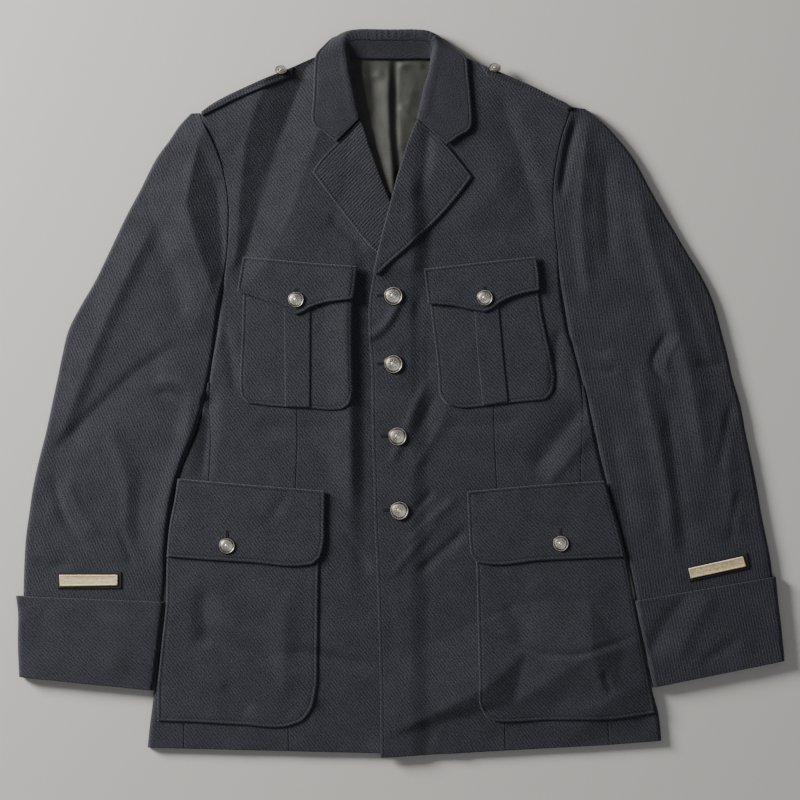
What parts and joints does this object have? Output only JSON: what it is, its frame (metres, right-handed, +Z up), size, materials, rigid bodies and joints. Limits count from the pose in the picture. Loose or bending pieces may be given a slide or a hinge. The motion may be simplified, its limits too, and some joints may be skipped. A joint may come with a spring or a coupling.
{
  "type": "uniform jacket laid flat",
  "caption": "Uniform dress jacket laid flat on its back, with notched lapels, shoulder straps, pleated chest pockets, flapped hip pockets and turned-up cuffs.",
  "frame": {"origin": "middle of the laid jacket's outline, on the surface that it lies on", "axes": "+X towards the wearer's left sleeve, +Y towards the collar, +Z up from the surface"},
  "size_m": [0.831, 0.787, 0.019],
  "materials": {
    "outer_cloth": "matt navy wool twill",
    "patch_cloth": "matt navy wool twill",
    "lining": "olive grey satin",
    "bar_backing": "matt black felt",
    "braid": "pale gold braid",
    "button": "polished pale brass"
  },
  "bodies": {
    "root": {"front_right": "outer_cloth", "front_left": "outer_cloth", "side_right": "outer_cloth", "side_left": "outer_cloth", "back": "outer_cloth", "top_sleeve_right": "outer_cloth", "top_sleeve_left": "outer_cloth", "under_sleeve_right": "outer_cloth", "under_sleeve_left": "outer_cloth", "cuff_right": "outer_cloth", "cuff_left": "outer_cloth", "collar": "outer_cloth", "lapel_right": "outer_cloth", "lapel_left": "outer_cloth", "chest_pocket_right": "patch_cloth", "chest_pocket_left": "patch_cloth", "pocket_pleat_right": "patch_cloth", "pocket_pleat_left": "patch_cloth", "chest_flap_right": "patch_cloth", "chest_flap_left": "patch_cloth", "hip_pocket_right": "patch_cloth", "hip_pocket_left": "patch_cloth", "hip_flap_right": "patch_cloth", "hip_flap_left": "patch_cloth", "shoulder_strap_right": "patch_cloth", "shoulder_strap_left": "patch_cloth", "back_lining": "lining", "bar_backing_right": "bar_backing", "bar_backing_left": "bar_backing", "service_bar_right": "braid", "service_bar_left": "braid", "button_front_1": "button", "button_front_2": "button", "button_front_3": "button", "button_front_4": "button", "button_chest_right": "button", "button_chest_left": "button", "button_hip_right": "button", "button_hip_left": "button", "button_strap_right": "button", "button_strap_left": "button"}
  },
  "joints": []
}
